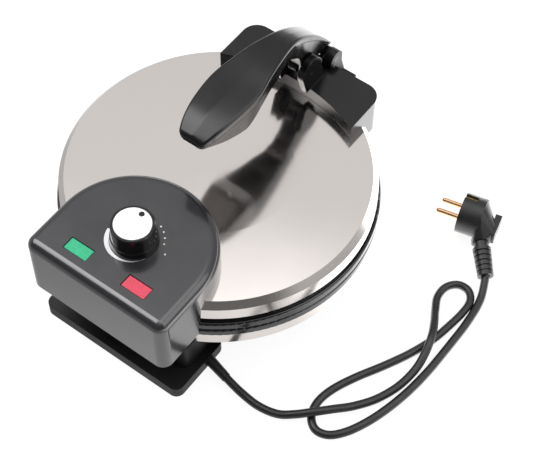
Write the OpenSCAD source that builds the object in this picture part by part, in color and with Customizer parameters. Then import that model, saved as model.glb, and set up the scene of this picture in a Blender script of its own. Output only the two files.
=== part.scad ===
// Electric roti maker: two heated plates, a lid with a control housing, and a press lever on a rear hinge.
// Millimetres, +Z up, origin on the table under the middle of the plates; the controls face -Y.

/* [Plates] */
// Radius of both cooking plates
plate_r = 127.5; // [110:0.5:140]
// Thickness of both cooking plates
plate_t = 5.2; // [4:0.1:8]
// Height between the closed plates
plate_gap = 2.4; // [1.5:0.1:4]
// Distance of the heating elements' ring inside the plates' edge
element_in = 42.5; // [30:0.5:60]
// Radius of the heating elements' sheath
element_r = 3.3; // [2.5:0.1:4]

/* [Trim rings] */
// Gap between a plate and the ring around it
ring_gap = 2; // [1:0.1:4]
// Width of the black rings' rim
ring_w = 10.5; // [8:0.1:14]
// Height of the base's black ring
base_ring_h = 9; // [6:0.1:14]
// Height of the lid's black ring
lid_ring_h = 8.7; // [6:0.1:14]
// Height of the gap between the two rings when the lid is shut
part_gap = 0.6; // [0.4:0.1:1.2]
// Height of the recess between the lid's ring and its steel shell
recess_h = 5.7; // [3:0.1:9]

/* [Lid shell] */
// Height of the steel shell's upright band
band_h = 11.8; // [8:0.1:18]
// Height of the sloping band above it
shoulder_h = 6.2; // [4:0.1:9]
// How far the sloping band runs inwards
shoulder_in = 5; // [3:0.1:8]
// Rise of the steel top from its edge to its middle
dome_rise = 1.5; // [0.5:0.1:4]
// Thickness of the steel sheet
sheet_t = 0.8; // [0.6:0.1:1.2]

/* [Base] */
// Height of the rubber feet under the soles
foot_h = 1.5; // [1:0.1:3]
// Thickness of the front and rear soles
sole_t = 12; // [11:0.1:16]
// Height of the black bottom housing
dish_h = 31.3; // [25:0.1:45]
// How far the bottom housing's top stands out past the plates
dish_out = 0.5; // [-4:0.5:4]
// How far the bottom housing draws in from its top to its floor
dish_slope = 20; // [14:0.5:30]
// Height of the base's steel band
pan_h = 14; // [12:0.1:22]
// Wall of the moulded housings
wall = 2.8; // [2:0.1:3.5]
// Half width of the front sole
sole_half = 74; // [70:0.5:90]
// How far the front sole's front edge stands out past the plates
sole_out = 27.5; // [20:0.5:33]
// How far the front sole reaches back under the plates
sole_in = 37.5; // [32:0.5:48]
// Radius of the soles' corners
sole_corner = 8; // [4:0.5:9]
// Half width of the neck between the front sole and the bottom housing
neck_half = 66; // [55:0.5:68]
// How far the neck's front stands out past the plates
neck_out = 6.5; // [1:0.5:10]

/* [Control housing] */
// Half width of the control housing
box_half = 72; // [68:0.5:84]
// How far the housing's front and the rear stand's back stand out past the plates
reach_out = 37.5; // [33:0.5:45]
// Distance of the housing's round end's centre inside the plates' front edge
arch_in = 13; // [6:0.5:15]
// Height of the housing's top over the steel lid's edge
box_rise = 23.3; // [21:0.1:34]
// Height of the housing from bottom to top
box_h = 61.3; // [52:0.1:62]
// Radius of the housing's top edge
box_fillet = 8.2; // [4:0.1:9]
// Radius of the housing's two front corners
box_corner = 9.5; // [9:0.1:14]

/* [Lamps and knob] */
// Length of a lamp lens
lens_l = 22.6; // [16:0.1:25]
// Width of a lamp lens
lens_w = 11.2; // [8:0.1:14]
// Distance of each lamp from the middle
lens_x = 30; // [28:0.5:44]
// Distance of the lamps behind the housing's front
lens_back = 21.3; // [18:0.1:23]
// Distance of the knob's axis inside the plates' front edge
knob_in = 17.5; // [14.5:0.5:21]
// Greatest radius of the silver crescent printed round the knob
mark_r = 24.8; // [23:0.1:26]
// Radius of the knob's black body at its foot
knob_low_r = 20.4; // [18:0.1:20.8]
// Radius of the knob's black body at its top
knob_top_r = 18.3; // [17.4:0.1:18.6]
// Height of the knob over the housing
knob_h = 22.5; // [20:0.1:26]
// Radius of the pale cap set in the knob's top
cap_r = 16; // [13:0.1:16.2]
// Radius of the thermostat's spindle
spindle_r = 3; // [2.5:0.1:4]

/* [Hinge and bracket] */
// Distance of the lid's hinge axis behind the plates' back edge
hinge_out = 19.5; // [17.5:0.5:22]
// Height of the hinge axis over the steel lid's edge
hinge_rise = 19; // [18:0.1:22]
// Radius of the base's hinge ears
ear_r = 8.5; // [7:0.1:9]
// Thickness of each hinge ear
ear_t = 8.5; // [6:0.1:11]
// Radius of the hinge pin and of the lever pin
pin_r = 3; // [2.5:0.1:3.5]
// Half width of the bracket's wings
wing_half = 71; // [60:0.5:76]
// How much greater than the plates' radius the arc at the wings' front is
wing_bow = 42.5; // [5:0.5:60]
// Distance of that arc inside the plates' back edge
wing_in = 17.5; // [17:0.5:21]
// Distance of the wings' back edge behind the plates' back edge
wing_out = 16.5; // [15.5:0.5:18]
// Height of the wings over the steel lid's edge
wing_rise = 14; // [12:0.1:15]
// Distance of the lever pin inside the plates' back edge
lever_in = 15.5; // [12:0.5:19]
// Height of the lever pin over the steel lid's edge
lever_rise = 35; // [33:0.1:37]
// Radius of the cheeks around the lever pin
cheek_r = 13.5; // [12:0.1:16]
// Thickness of each cheek
cheek_t = 6.5; // [4:0.1:7]

/* [Press lever] */
// Wall of the lever's two shells
grip_wall = 2.4; // [1.8:0.1:3]
// Thickness of the lever's steel core
core_t = 8; // [6:0.1:9]
// Half width of the lever's arm between the cheeks
arm_half = 9.5; // [9:0.1:9.7]
// Rise of the ridge along the lever's top face
ridge_h = 1; // [0.6:0.1:3]

/* [Lead and plug] */
// Diameter of the mains lead
cord_d = 7.4; // [6.5:0.1:8]
// Distance of the lead's outlet inside the plates' front edge
outlet_in = 16.5; // [13.5:0.5:19.5]
// Radius of the plug's round face
plug_r = 18.5; // [17.5:0.1:19.5]
// Length of the plug's round part
plug_l = 20; // [16:0.5:24]
// Length of the plug's pins
prong_l = 19; // [18:0.1:20]
// Radius of the plug's pins
prong_r = 2.4; // [2:0.1:2.4]
// Distance between the plug's pins
prong_pitch = 19; // [18.5:0.1:19.5]

/* [Hidden] */

// Clearances: a seat between fixed pieces, a slide between a lip and its sleeve, and a running fit on a pin
seat = 0.1;
slide = 0.3;
run_fit = 0.05;
fine = 160;
small = 48;

// Distances from the plates' middle
element_ring_r = plate_r - element_in;
dish_top_r = plate_r + dish_out;
dish_low_r = dish_top_r - dish_slope;
sole_front = plate_r + sole_out;
sole_back = plate_r - sole_in;
neck_front = plate_r + neck_out;
reach = plate_r + reach_out;
arch_y = plate_r - arch_in;
knob_y = plate_r - knob_in;
hinge_y = plate_r + hinge_out;
wing_r = plate_r + wing_bow;
wing_front = plate_r - wing_in;
wing_back = plate_r + wing_out;
lever_y = plate_r - lever_in;
outlet_y = plate_r - outlet_in;
wire_y = plate_r - 57.5;
stand_front = plate_r - 41.5;

// Heights from the table upwards
sole_top = foot_h + sole_t;
dish_z = sole_top + seat;
dish_top = dish_z + dish_h;
pan_z = dish_top + seat;
pan_top = pan_z + pan_h;
base_ring_top = pan_top + base_ring_h;
lid_z = base_ring_top + part_gap;
lid_ring_top = lid_z + lid_ring_h;
shell_z = lid_ring_top + recess_h;
shoulder_z = shell_z + band_h;
lid_edge_z = shoulder_z + shoulder_h;
lid_top_z = lid_edge_z + dome_rise;

// Radii of the round body
ring_in = plate_r + ring_gap;
ring_r = ring_in + ring_w;
lip_r = ring_r - 3.6;
pan_r = lip_r + slide + sheet_t;
shell_r = pan_r + 0.1;
shoulder_r = shell_r - 0.6;
lid_top_r = shoulder_r - shoulder_in;
ring_edge = 2;
lip_h = 4;

// Plates and what lies behind them
parting = base_ring_top + part_gap / 2;
low_plate_top = parting - plate_gap / 2;
low_plate_z = low_plate_top - plate_t;
up_plate_z = parting + plate_gap / 2;
up_plate_top = up_plate_z + plate_t;
low_element_z = low_plate_z - seat - element_r;
up_element_z = up_plate_top + seat + element_r;
tray_r = element_ring_r + 12;
felt_t = 4;
felt_r = tray_r - 4;
low_tray_z = pan_z + sheet_t + felt_t + 2 * seat;
up_tray_z = up_element_z + element_r + 2.2;
leg_angle = 16;
leg_l = 17;
boss_ring_r = 64;
boss_r = 6;
tab_ring_r = plate_r - 7;
long_screw_r = 2;

// Control housing
box_top = lid_edge_z + box_rise;
box_z = box_top - box_h;
cover_t = 2.5;
back_gap = 0.7;
back_wall = 2;
lens_y = lens_back - reach;
lens_gap = 0.7;
lens_sunk = 0.5;
lens_lip = 1.8;
knob_z = box_top + 0.3;
knob_top = knob_z + knob_h;
skirt_h = 7;
cap_t = 2;
pointer_out = 11.5;
pointer_r = 2.4;
box_boss_r = 4.5;
post_x = box_half - 15;
post_y = -reach + 14;

// Hinge, bracket and lever
hinge_z = lid_edge_z + hinge_rise;
lever_z = lid_edge_z + lever_rise;
wing_top = lid_edge_z + wing_rise;
wing_low = lid_ring_top + 1;
wing_corner = 15;
notch_half = 19.5;
cheek_in = arm_half + 1;
cheek_out = cheek_in + cheek_t;
ear_in = 10;
ear_out = ear_in + ear_t;
lug_in = core_t / 2 + 1.5;
lug_out = ear_in - slide;
lug_r = ear_r - 0.5;
stand_half = 30;
stand_top = lid_ring_top + 14.7;

// Lead outlet
outlet_z = foot_h + sole_t / 2;
relief_l = 22;
relief_turn = -12;
relief_drop = 5;
relief_r = cord_d / 2 + 1.2;
cord_r = cord_d / 2;

// Shared shapes

module block(x0, x1, y0, y1, z0, z1) {
    translate([x0, y0, z0]) cube([x1 - x0, y1 - y0, z1 - z0]);
}

module disc(r, z0, z1) {
    translate([0, 0, z0]) cylinder(r = r, h = z1 - z0, $fn = fine);
}

module post(x, y, r, z0, z1) {
    translate([x, y, z0]) cylinder(r = r, h = z1 - z0, $fn = small);
}

// A cylinder along X, centred on the middle plane
module cross_pin(r, half, y, z) {
    translate([-half, y, z]) rotate([0, 90, 0]) cylinder(r = r, h = 2 * half, $fn = small);
}

// A rectangle with round corners, from its half width and its two Y edges
module soft_rectangle(half, y0, y1, r) {
    translate([-half + r, y0]) square([2 * (half - r), y1 - y0]);
    translate([-half, y0 + r]) square([2 * half, y1 - y0 - 2 * r]);
    for (side = [-1, 1], y = [y0 + r, y1 - r])
        translate([side * (half - r), y]) circle(r = r, $fn = small);
}

module soft_slab(half, y0, y1, r, z0, z1) {
    translate([0, 0, z0]) linear_extrude(z1 - z0) soft_rectangle(half, y0, y1, r);
}

// A profile drawn in the Y-Z plane and carried from x0 to x1
module side_profile(x0, x1) {
    translate([x0, 0, 0]) rotate([90, 0, 90]) linear_extrude(x1 - x0) children();
}

// Section of a ring whose outer edges are rounded
module ring_section(r0, r1, z0, z1, r) {
    translate([r0, z0]) square([r1 - r0 - r, z1 - z0]);
    translate([r0, z0 + r]) square([r1 - r0, z1 - z0 - 2 * r]);
    for (z = [z0 + r, z1 - r]) translate([r1 - r, z]) circle(r = r, $fn = small);
}

// Half of an upright section with its top outer edge rounded
module edge_profile(w, z0, z1, r) {
    translate([0, z0]) square([w - r, z1 - z0]);
    translate([0, z0]) square([w, z1 - r - z0]);
    intersection() {
        translate([w - r, z1 - r]) circle(r = r, $fn = small);
        translate([w - r, z1 - r]) square(r);
    }
}

// Housing form: straight front with round corners, a half-round end, and a rounded top edge
module arched_form(half, front, z0, z1, r, corner) {
    mid_half = half - corner;
    corner_y = corner - front;
    side_l = -arch_y - corner_y;
    translate([0, -arch_y, 0]) rotate_extrude(angle = 180, $fn = fine) edge_profile(half, z0, z1, r);
    for (side = [0, 1]) mirror([side, 0, 0]) {
        translate([mid_half, corner_y, 0]) rotate([0, 0, -90])
            rotate_extrude(angle = 90, $fn = fine) edge_profile(corner, z0, z1, r);
        translate([mid_half, -arch_y, 0]) rotate([90, 0, 0])
            linear_extrude(side_l) edge_profile(corner, z0, z1, r);
    }
    translate([-mid_half, corner_y, 0]) mirror([0, 1, 0]) rotate([90, 0, 90])
        linear_extrude(2 * mid_half) edge_profile(corner, z0, z1, r);
    block(-mid_half, mid_half, corner_y, -arch_y, z0, z1);
}

// Space that the shut lid fills, grown by a clearance
module lid_form(grow) {
    rotate_extrude($fn = fine) polygon([
        [0, box_z - 2],
        [ring_r + back_gap, box_z - 2],
        [ring_r + back_gap, lid_z + 1],
        [ring_r + grow, lid_z + 1],
        [ring_r + grow, lid_ring_top + grow],
        [shell_r + grow, lid_ring_top + grow],
        [shell_r + grow, shell_z],
        [shoulder_r + grow, shoulder_z + grow / 2],
        [lid_top_r + grow / 2, lid_edge_z + grow],
        [lid_top_r / 2, lid_edge_z + dome_rise * 0.75 + grow],
        [0, lid_top_z + grow]
    ]);
}

// A screw standing head down
module screw(x, y, z0, length, r) {
    wide = 2 * r;
    translate([x, y, z0]) {
        difference() {
            cylinder(r = wide, h = r, $fn = small);
            translate([-wide * 0.7, -0.4, -0.1]) cube([wide * 1.4, 0.8, 0.8]);
            translate([-0.4, -wide * 0.7, -0.1]) cube([0.8, wide * 1.4, 0.8]);
        }
        cylinder(r = r, h = length, $fn = small);
    }
}

// Base

foot_spots = [[-62, 12 - sole_front], [62, 12 - sole_front], [-62, -sole_back - 11], [62, -sole_back - 11]];
rear_spots = [[-34, reach - 15], [34, reach - 15]];
sole_screws = [[-46, 14 - neck_front], [46, 14 - neck_front]];
stand_screws = [[-28, stand_front + 10], [28, stand_front + 10]];
foot_r = 6;
boss_turns = [90, 210, 330];

module front_sole() color("#151516") difference() {
    soft_slab(sole_half, -sole_front, -sole_back, sole_corner, foot_h, sole_top);
    difference() {
        soft_slab(sole_half - 4, 4 - sole_front, -sole_back - 4, sole_corner - 3,
            foot_h + 2.5, sole_top - 2.5);
        for (p = sole_screws) post(p[0], p[1], 5.5, foot_h, sole_top);
    }
    for (p = foot_spots) post(p[0], p[1], foot_r + seat, foot_h - 1, foot_h + 1);
    for (p = sole_screws) {
        post(p[0], p[1], 1.6, foot_h - 1, sole_top + 1);
        post(p[0], p[1], 3.4, foot_h - 1, foot_h + 2.5);
    }
    block(-20, 20, -outlet_y - 13, -outlet_y + 7, sole_top - 4, sole_top + 1);
    translate([sole_half, -outlet_y, outlet_z]) rotate([0, 90, 0])
        translate([0, 0, -10]) cylinder(r = relief_r + 0.3, h = 20, $fn = small);
}

module rear_stand() color("#151516") difference() {
    union() {
        soft_slab(stand_half + 15, stand_front, reach, sole_corner, foot_h, sole_top);
        block(-stand_half, stand_half, dish_low_r, reach - 2, sole_top - 1, pan_top);
        block(-stand_half, stand_half, wing_back + 0.8, reach - 2, pan_top - 1, stand_top);
        for (side = [0, 1]) mirror([side, 0, 0]) side_profile(ear_in, ear_out) {
            translate([hinge_y, hinge_z]) circle(r = ear_r, $fn = small);
            translate([hinge_y - ear_r, stand_top - 1]) square([2 * ear_r, hinge_z - stand_top + 1]);
            polygon([
                [hinge_y, stand_top - 1], [reach - 3, stand_top - 1], [hinge_y + ear_r, hinge_z - 8],
                [hinge_y, hinge_z - 8]
            ]);
        }
    }
    translate([0, 0, dish_z - 1])
        cylinder(r1 = dish_low_r - 0.4, r2 = dish_top_r + 0.4, h = dish_h + 1, $fn = fine);
    disc(pan_r + 0.3, dish_top - 0.1, pan_top + 2);
    disc(ring_r + 0.6, pan_top - 1, stand_top);
    soft_slab(stand_half + 11, stand_front + 26, reach - 4, sole_corner - 4, foot_h - 1, sole_top - 2.5);
    block(4 - stand_half, stand_half - 4, wing_back + 4, reach - 5, sole_top - 4, stand_top - 4);
    for (p = rear_spots) post(p[0], p[1], foot_r + seat, foot_h - 1, foot_h + 1);
    for (p = stand_screws) {
        post(p[0], p[1], 1.6, foot_h - 1, sole_top + 1);
        post(p[0], p[1], 3.4, foot_h - 1, foot_h + 2.5);
    }
    cross_pin(pin_r + run_fit, 30, hinge_y, hinge_z);
}

module rubber_feet() color("#262626") {
    for (p = foot_spots) post(p[0], p[1], foot_r, 0, foot_h + 0.9);
    for (p = rear_spots) post(p[0], p[1], foot_r, 0, foot_h + 9);
}

module bottom_housing() color("#19191a") difference() {
    union() {
        translate([0, 0, dish_z]) cylinder(r1 = dish_low_r, r2 = dish_top_r, h = dish_h, $fn = fine);
        soft_slab(neck_half, -neck_front, 2 - sole_back, 6, dish_z, dish_top);
    }
    difference() {
        union() {
            translate([0, 0, dish_z + 3])
                cylinder(r1 = dish_low_r - wall, r2 = dish_top_r - wall, h = dish_h - 2, $fn = fine);
            soft_slab(neck_half - wall, wall - neck_front, -sole_back, 4, dish_z + 3, dish_top - wall);
        }
        for (a = boss_turns) rotate([0, 0, a]) post(boss_ring_r, 0, boss_r + 1.5, dish_z, dish_top);
        for (p = concat(sole_screws, stand_screws)) post(p[0], p[1], 4.5, dish_z, dish_z + 11);
    }
    for (a = boss_turns) rotate([0, 0, a]) {
        post(boss_ring_r, 0, long_screw_r + 0.1, dish_z - 1, dish_top + 1);
        post(boss_ring_r, 0, 2 * long_screw_r + 0.4, dish_z - 1, dish_z + 12);
    }
    for (p = concat(sole_screws, stand_screws)) post(p[0], p[1], 1.6, dish_z - 1, dish_z + 9);
    block(-20, 20, -outlet_y - 13, -outlet_y + 7, dish_z - 1, dish_z + 4);
    for (a = [15:30:345]) rotate([0, 0, a]) block(30, 50, -1.5, 1.5, dish_z - 1, dish_z + 4);
}

module base_pan() color("#cdc8c4") difference() {
    disc(pan_r, pan_z, pan_top);
    disc(pan_r - sheet_t, pan_z + sheet_t, pan_top + 1);
    for (a = boss_turns) rotate([0, 0, a]) post(boss_ring_r, 0, long_screw_r + 0.2, pan_z - 1, pan_z + 2);
    post(0, -wire_y, 9, pan_z - 1, pan_z + 2);
    leg_holes(pan_z - 1, pan_z + 2);
}

module base_ring() color("#101011") rotate_extrude($fn = fine) {
    ring_section(ring_in, ring_r, pan_top + seat, base_ring_top, ring_edge);
    translate([ring_in, pan_top - lip_h]) square([lip_r - ring_in, lip_h + 1]);
}

module lower_plate() color("#3a3b3d") difference() {
    union() {
        disc(plate_r - 1, low_plate_z, low_plate_top);
        disc(plate_r, low_plate_z, low_plate_top - 1);
        for (a = boss_turns) rotate([0, 0, a])
            post(boss_ring_r, 0, boss_r, pan_z + sheet_t + seat, low_plate_z + 1);
    }
    for (a = boss_turns) rotate([0, 0, a]) post(boss_ring_r, 0, long_screw_r + 0.1, pan_z, low_plate_z - 1);
}

// Sheathed heating ring with an elbow and a leg at each end, drawn with its legs downwards
module element() {
    rotate([0, 0, leg_angle - 90]) rotate_extrude(angle = 360 - 2 * leg_angle, $fn = fine)
        translate([element_ring_r, 0]) circle(r = element_r, $fn = small);
    for (side = [-1, 1]) rotate([0, 0, side * leg_angle - 90]) translate([element_ring_r, 0, 0]) {
        sphere(r = element_r, $fn = small);
        translate([0, 0, -leg_l]) cylinder(r = element_r, h = leg_l, $fn = small);
    }
}

module leg_holes(z0, z1) {
    for (side = [-1, 1]) rotate([0, 0, side * leg_angle - 90])
        post(element_ring_r, 0, element_r + 0.5, z0, z1);
}

module lower_element() color("#8b8a88") translate([0, 0, low_element_z]) element();

module lower_reflector() color("#b9b8b5") difference() {
    disc(tray_r, low_tray_z, low_plate_z - 1);
    disc(tray_r - sheet_t, low_tray_z + sheet_t, low_plate_z + 1);
    leg_holes(low_tray_z - 1, low_tray_z + 2);
    for (a = boss_turns) rotate([0, 0, a])
        post(boss_ring_r, 0, boss_r + 0.5, low_tray_z - 1, low_tray_z + 2);
}

module lower_insulation() color("#d8d4c4") difference() {
    disc(felt_r, pan_z + sheet_t + seat, low_tray_z - seat);
    leg_holes(pan_z, low_tray_z + 1);
    for (a = boss_turns) rotate([0, 0, a]) post(boss_ring_r, 0, boss_r + 0.5, pan_z, low_tray_z + 1);
    post(0, -wire_y, 9, pan_z, low_tray_z + 1);
}

module terminal_block() color("#e6e3da") difference() {
    block(-16, 16, -wire_y - 6, -wire_y + 8, dish_z + 3 + seat, dish_z + 15);
    for (x = [-10, 0, 10]) {
        translate([x, 9 - wire_y, dish_z + 8]) rotate([90, 0, 0]) cylinder(r = 2, h = 16, $fn = small);
        post(x, 1 - wire_y, 1.8, dish_z + 9, dish_z + 16);
    }
}

module base_screws() color("#8f9092") {
    for (p = concat(sole_screws, stand_screws)) screw(p[0], p[1], foot_h + 0.8, sole_t + 8, 1.5);
    for (a = boss_turns) rotate([0, 0, a])
        screw(boss_ring_r, 0, dish_z + 10, low_plate_z - dish_z - 12, long_screw_r);
}

module hinge_pin() color("#2b2b2d") cross_pin(pin_r, ear_out, hinge_y, hinge_z);

// Lead and plug

module cord_gland() color("#1c1c1d") {
    translate([sole_half - 8, -outlet_y, outlet_z]) rotate([0, 90, 0])
        cylinder(r = relief_r, h = 8.4, $fn = small);
    translate(relief_foot) rotate([0, 90 + relief_drop, relief_turn])
        cylinder(r1 = relief_r, r2 = cord_r + 0.5, h = relief_l, $fn = small);
}

module cord_clamp() color("#2c2c2e") {
    block(sole_half - 20, sole_half - 10, -outlet_y - 8, -outlet_y + 9,
        foot_h + 2.5 + seat, outlet_z + 2);
}

function unit(v) = v / norm(v);

// Route of the lead on the table: X, Y, and how many diameters it is lifted where it crosses itself
relief_way = [cos(relief_turn) * cos(relief_drop), sin(relief_turn) * cos(relief_drop), -sin(relief_drop)];
relief_foot = [sole_half - 0.4, -outlet_y, outlet_z];
relief_end = relief_foot + relief_l * relief_way;
lead_route = [
    [112, -118.5, 0.05], [132, -120, 0], [150, -117, 0.2], [163, -110, 0.7], [174.5, -100.5, 1.06],
    [186, -87.5, 0.85], [197, -73, 0.3], [208, -55, 0], [216, -34, 0], [219, -13, 0.2], [218, 3, 0.75],
    [214, 19, 1.06], [208, 33, 0.75], [200.5, 47, 0.2], [194, 61, 0], [194.5, 74, 0], [202, 82.5, 0],
    [212.5, 82.5, 0], [219.5, 74, 0], [220.5, 61, 0], [218.5, 43, 0], [214.5, 22, 0], [206.5, -1, 0],
    [195, -25, 0], [182, -49, 0], [173, -70, 0], [170, -87, 0], [173.5, -101, 0], [183, -109, 0],
    [194.5, -107, 0], [204.5, -96.5, 0], [213, -80, 0], [220, -59, 0], [225.5, -33, 0], [228.3, -5, 0],
    [229, 25, 0], [229, 53, 0], [226, 80, 0]
];
lead_end = [217.5, 102, 7.5];
table_gap = 0.1;
lead_points = concat(
    [relief_end],
    [for (p = lead_route) [p[0], p[1], cord_r + table_gap + p[2] * cord_d]],
    [lead_end]
);
lead_steps = 2;
lead_sides = 10;

function held(i) = lead_points[max(0, min(len(lead_points) - 1, i))];

// Point on a smooth curve through the route, u from 0 to the last point's number
function on_lead(u) =
    let (i = min(floor(u), len(lead_points) - 2), t = u - i,
        a = held(i - 1), b = held(i), c = held(i + 1), d = held(i + 2))
    b + t * (c - a) / 2 + t * t * (a - 2.5 * b + 2 * c - d / 2) + t * t * t * (1.5 * b - a / 2 - 1.5 * c + d / 2);

// Ring of points square to the curve
function lead_ring(u) =
    let (way = unit(on_lead(u + 0.02) - on_lead(u - 0.02)), side = unit(cross([0, 0, 1], way)),
        up = cross(way, side), step = 360 / lead_sides)
    [for (k = [0:lead_sides - 1]) on_lead(u) + cord_r * (cos(k * step) * side + sin(k * step) * up)];

module power_cord() color("#1b1b1c") {
    last = (len(lead_points) - 1) * lead_steps;
    rings = [for (j = [0:last]) lead_ring(min(max(j / lead_steps, 0.021), last / lead_steps - 0.021))];
    points = [for (ring = rings, p = ring) p];
    n = lead_sides;
    polyhedron(points = points, faces = concat(
        [for (j = [0:last - 1], k = [0:n - 1]) [j * n + k, (j + 1) * n + k, (j + 1) * n + (k + 1) % n]],
        [for (j = [0:last - 1], k = [0:n - 1]) [j * n + k, (j + 1) * n + (k + 1) % n, j * n + (k + 1) % n]],
        [for (k = [1:n - 2]) [0, k, k + 1]],
        [for (k = [1:n - 2]) [last * n, last * n + k + 1, last * n + k]]
    ));
}

plug_x = 166;
plug_y = 141;
plug_turn = 13;
plug_roll = -22;
tail_r = 7;
tail_ribs = 5;

// Places what is drawn along +X from the middle of the plug's round face
module plug_place() {
    translate([plug_x, plug_y, plug_r]) rotate([0, 0, plug_turn]) children();
}

// Places what is drawn along +Z from the cord's end of the plug's tail
module tail_place() {
    away = unit([plug_x + 24 * cos(plug_turn) + 5, plug_y - 12, 13] - lead_end);
    translate(lead_end) rotate([0, acos(away[2]), atan2(away[1], away[0])]) children();
}

module plug_body() color("#1d1d1e") difference() {
    union() {
        plug_place() rotate([0, 90, 0]) cylinder(r = plug_r, h = plug_l, $fn = fine);
        hull() {
            plug_place() translate([plug_l - 3, 0, 0]) rotate([0, 90, 0])
                cylinder(r = plug_r - 1.5, h = 3, $fn = 32);
            plug_place() translate([plug_l + 9, -9, -3]) rotate([0, 90, 0])
                cylinder(r = 9, h = 4, $fn = 32);
            tail_place() translate([0, 0, 33]) cylinder(r = 8.6, h = 3, $fn = 32);
        }
        plug_place() translate([plug_l + 10, -15, -9]) cube([6, 22, 14]);
        tail_place() cylinder(r1 = tail_r - 0.8, r2 = tail_r, h = 36, $fn = small);
        for (i = [0:tail_ribs]) tail_place() translate([0, 0, i * 4.8])
            cylinder(r1 = tail_r + 0.2 + i * 0.2, r2 = tail_r + 0.4 + i * 0.2, h = 2.9, $fn = small);
    }
    tail_place() translate([0, 0, -1]) cylinder(r = cord_r + 0.5, h = 2.2, $fn = small);
    plug_place() rotate([plug_roll, 0, 0]) {
        for (side = [-1, 1]) {
            translate([-1, side * prong_pitch / 2, 0]) rotate([0, 90, 0])
                cylinder(r = prong_r + seat, h = 14, $fn = small);
            translate([-1, -3, side * (plug_r - 1.2) - 1.4]) cube([13, 6, 2.8]);
        }
    }
}

module plug_pins() color("#b98d5f") plug_place() rotate([plug_roll, 0, 0]) {
    for (side = [-1, 1]) translate([-prong_l, side * prong_pitch / 2, 0]) {
        rotate([0, 90, 0]) cylinder(r = prong_r, h = prong_l + 12, $fn = small);
        sphere(r = prong_r, $fn = small);
    }
}

module plug_earth_clips() color("#c2a06b") plug_place() rotate([plug_roll, 0, 0]) {
    for (side = [-1, 1])
        translate([0.4, -2.6, side * (plug_r - 2.2) - 0.3]) cube([11.5, 5.2, 0.6]);
}

// Lid

module lid_ring() color("#101011") difference() {
    union() {
        rotate_extrude($fn = fine) {
            ring_section(ring_in, ring_r, lid_z, lid_ring_top, ring_edge);
            translate([ring_in + 2, lid_ring_top - 1]) square([lip_r - ring_in - 2, recess_h + lip_h + 1]);
        }
        for (a = boss_turns) rotate([0, 0, a + 60])
            block(tab_ring_r - 6, ring_in + 3, -7, 7, up_plate_top + 3.2, up_plate_top + 6);
    }
    for (a = boss_turns) rotate([0, 0, a + 60]) post(tab_ring_r, 0, 1.6, lid_z, shell_z);
}

module lid_shell() color("#d2cdc9") difference() {
    rotate_extrude($fn = fine) polygon([
        [0, lid_top_z], [lid_top_r / 2, lid_edge_z + dome_rise * 0.75], [lid_top_r, lid_edge_z],
        [shoulder_r, shoulder_z], [shell_r, shell_z], [shell_r - sheet_t, shell_z],
        [shoulder_r - sheet_t, shoulder_z - sheet_t / 2], [lid_top_r - sheet_t / 2, lid_edge_z - sheet_t],
        [lid_top_r / 2, lid_edge_z + dome_rise * 0.75 - sheet_t], [0, lid_top_z - sheet_t]
    ]);
    post(0, 18 - knob_y, 12, shell_z, lid_top_z + 1);
    for (p = concat(box_screws, bracket_spots)) post(p[0], p[1], 1.6, shell_z, lid_top_z + 1);
}

module upper_plate() color("#3a3b3d") difference() {
    union() {
        disc(plate_r - 1, up_plate_z, up_plate_top);
        disc(plate_r, up_plate_z + 1, up_plate_top);
        for (a = boss_turns) rotate([0, 0, a + 60])
            post(tab_ring_r, 0, 4.5, up_plate_top - 1, up_plate_top + 3.1);
    }
    for (a = boss_turns) rotate([0, 0, a + 60]) post(tab_ring_r, 0, 1.5, up_plate_z + 2, up_plate_top + 4);
}

module upper_element() color("#8b8a88") translate([0, 0, up_element_z]) mirror([0, 0, 1]) element();

module upper_reflector() color("#b9b8b5") difference() {
    disc(tray_r, up_plate_top + seat, up_tray_z + sheet_t);
    disc(tray_r - sheet_t, up_plate_top - 1, up_tray_z);
    leg_holes(up_tray_z - 1, up_tray_z + 2);
}

module upper_insulation() color("#d8d4c4") difference() {
    disc(felt_r, up_tray_z + sheet_t + seat, up_tray_z + sheet_t + seat + felt_t);
    leg_holes(up_tray_z, up_tray_z + 8);
}

box_screws = [[-50, 10 - knob_y], [50, 10 - knob_y], [0, 52 - knob_y]];
cover_back = 18 - knob_y;
cover_screws = [[-post_x, post_y], [post_x, post_y]];
inner_r = box_fillet - wall;

module control_housing() color("#2a2a2c") difference() {
    union() {
        difference() {
            arched_form(box_half, reach, box_z, box_top, box_fillet, box_corner);
            arched_form(box_half - wall, reach - wall, box_z - 1, box_top - wall, inner_r,
                box_corner - wall);
        }
        for (p = box_screws) post(p[0], p[1], box_boss_r, lid_edge_z, box_top - wall + 1);
        for (p = cover_screws)
            post(p[0], p[1], box_boss_r, box_z + cover_t + seat, box_top - wall + 1);
    }
    lid_form(seat);
    for (side = [-1, 1]) translate([side * lens_x, lens_y, box_top])
        cube([lens_l + 2 * lens_gap, lens_w + 2 * lens_gap, 4 * wall], center = true);
    post(0, -knob_y, spindle_r + 2, box_top - wall - 1, box_top + 1);
    for (p = box_screws) post(p[0], p[1], 1.5, lid_edge_z - 1, lid_edge_z + 14);
    for (p = cover_screws) post(p[0], p[1], 1.5, box_z, box_z + 16);
}

module control_cover() color("#1b1b1c") difference() {
    union() {
        soft_slab(box_half - wall - seat, wall + seat - reach, cover_back, box_corner - wall,
            box_z, box_z + cover_t);
        intersection() {
            difference() {
                disc(ring_r + back_gap + back_wall, box_z, lid_z + 4);
                disc(ring_r + back_gap, box_z - 1, lid_z + 5);
            }
            block(wall + seat - box_half, box_half - wall - seat, wall + seat - reach, cover_back,
                box_z, lid_z + 4);
        }
    }
    disc(ring_r + back_gap, box_z - 1, lid_z + 5);
    for (p = cover_screws) {
        post(p[0], p[1], 1.6, box_z - 1, box_z + 4);
        post(p[0], p[1], 3.3, box_z - 1, box_z + 1);
    }
}

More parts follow.
